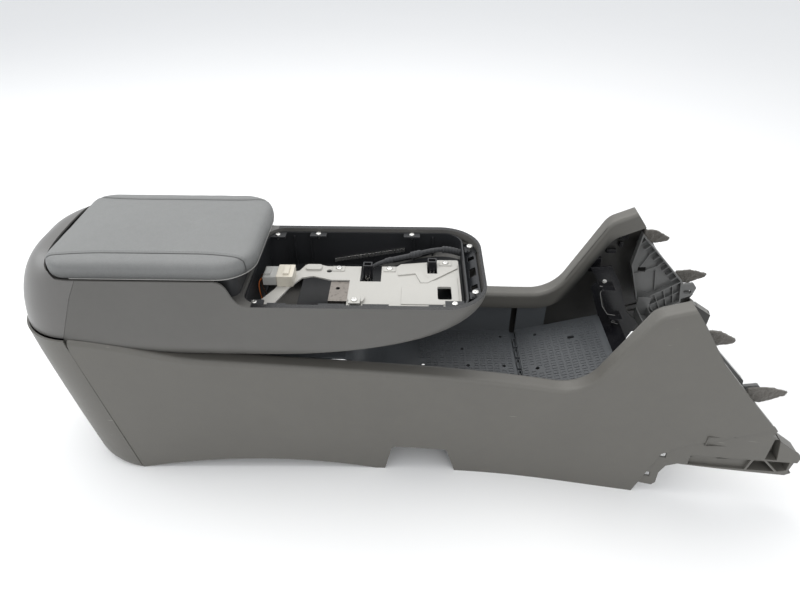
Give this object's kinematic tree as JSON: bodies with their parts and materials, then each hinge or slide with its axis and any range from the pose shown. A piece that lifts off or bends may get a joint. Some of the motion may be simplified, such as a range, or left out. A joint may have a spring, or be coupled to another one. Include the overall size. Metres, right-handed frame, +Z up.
{
  "type": "car center console",
  "caption": "Long floor console of a car: flared side panels, raised bridge with hinged armrest lid over a storage bin, open control well with bracket plate, low tray between the panels.",
  "frame": {"origin": "below the middle of the length and width, on the plane the console stands on", "axes": "+X towards the front of the car, +Y towards its left side, +Z up"},
  "size_m": [1.124, 0.348, 0.3707],
  "materials": {
    "panel_plastic": "fine grain, satin",
    "cover_plastic": "fine grain, satin",
    "bridge_plastic": "fine grain, satin",
    "lid_leather": "grained, semi-matte",
    "lid_inner_plastic": "smooth, matte",
    "bin_plastic": "smooth, matte",
    "mat_rubber": "matte",
    "liner_plastic": "fine grain, matte",
    "nose_gloss": "glossy",
    "plate_plastic": "semi-matte",
    "bright_steel": "zinc plated",
    "bracket_steel": "phosphated",
    "cream_plastic": "semi-gloss",
    "grey_plastic": "semi-gloss",
    "orange_wire": "semi-matte",
    "brown_wire": "semi-matte",
    "loom_sleeve": "woven tape",
    "clip_plastic": "smooth",
    "tray_plastic": "fine grain, matte",
    "brace_plastic": "smooth, matte",
    "frame_plastic": "smooth, matte",
    "felt": "fluffy",
    "strip_metal": "satin"
  },
  "bodies": {
    "console": {"left_side_panel": "panel_plastic", "right_side_panel": "panel_plastic", "rear_lower_cover": "panel_plastic", "rear_upper_cover": "cover_plastic", "bridge_shell": "bridge_plastic", "storage_bin": "bin_plastic", "bin_mat": "mat_rubber", "well_liner": "liner_plastic", "nose_frame": "nose_gloss", "bracket_plate": "plate_plastic", "plate_screws": "bright_steel", "rim_screws": "bright_steel", "steel_guide": "bracket_steel", "connector_socket": "cream_plastic", "connector_plug": "grey_plastic", "orange_lead": "orange_wire", "brown_lead": "brown_wire", "wiring_loom": "loom_sleeve", "rear_clip_holder": "clip_plastic", "front_clip_holder": "clip_plastic", "spring_clips": "bright_steel", "guide_strip": "strip_metal", "hinge_bracket": "bracket_steel", "bracket_screws": "bright_steel", "hinge_pin": "bright_steel", "latch_striker": "bright_steel", "rear_tray": "tray_plastic", "front_tray": "tray_plastic", "left_front_brace": "brace_plastic", "right_front_brace": "brace_plastic", "front_channel": "brace_plastic", "front_cross_frame": "frame_plastic", "frame_screws": "bright_steel", "left_upper_felt": "felt", "right_upper_felt": "felt", "left_lower_felt": "felt", "right_lower_felt": "felt", "rear_floor_bracket": "bracket_steel", "front_floor_bracket": "bracket_steel"},
    "armrest": {"lid_cover": "lid_leather", "lid_inner_panel": "lid_inner_plastic", "lid_screws": "bright_steel", "lid_bumpers": "mat_rubber", "latch_pin": "bright_steel", "latch_spring": "bright_steel"},
    "latch": {"latch_lever": "lid_inner_plastic"}
  },
  "joints": [
    {"name": "armrest_hinge", "type": "hinge", "parent": "console", "child": "armrest", "pos_m": [-0.48, 0, 0.3615], "axis": [0, -1, 0], "range_deg": [0, 90]},
    {"name": "latch_pivot", "type": "hinge", "parent": "armrest", "child": "latch", "pos_m": [-0.224, 0, 0.3405], "axis": [0, -1, 0], "range_deg": [0, 22], "stiffness_Nm_per_rad": 0.08, "springref_deg": -11.46}
  ]
}
